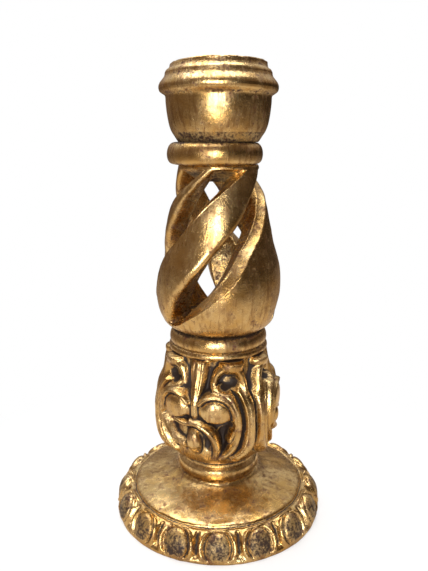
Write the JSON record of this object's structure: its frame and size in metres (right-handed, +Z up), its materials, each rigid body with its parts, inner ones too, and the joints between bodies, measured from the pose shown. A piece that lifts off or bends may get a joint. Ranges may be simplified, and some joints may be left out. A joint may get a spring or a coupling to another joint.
{
  "type": "open twist candlestick",
  "caption": "Gilded wooden candlestick with a gadrooned round foot, a carved knop, an open barley-twist shaft and a cup for one taper.",
  "frame": {"origin": "centre of the foot's underside, on the ground plane", "axes": "+Z up the shaft, -Y towards the viewer, +X to the viewer's right"},
  "size_m": [0.1444, 0.1444, 0.3],
  "materials": {
    "gilded_foot": "burnished leaf over dark clay",
    "gilded_turning": "burnished leaf over dark clay",
    "gilded_twist": "burnished leaf over dark clay",
    "gilded_carving": "burnished leaf with a dark wash in the hollows",
    "beech": "bare",
    "brass": "spun and worn",
    "steel": "zinc",
    "felt": "felt"
  },
  "bodies": {
    "root": {"foot": "gilded_foot", "foot_felt": "felt", "stem_washer": "steel", "stem_screw": "steel", "foot_ring": "gilded_turning", "knop": "gilded_carving", "knop_collar": "gilded_turning", "lower_dowel": "beech", "twist_column": "gilded_twist", "upper_dowel": "beech", "neck_ring": "gilded_turning", "candle_cup": "gilded_turning", "cup_liner": "brass", "liner_screw": "brass"}
  },
  "joints": []
}
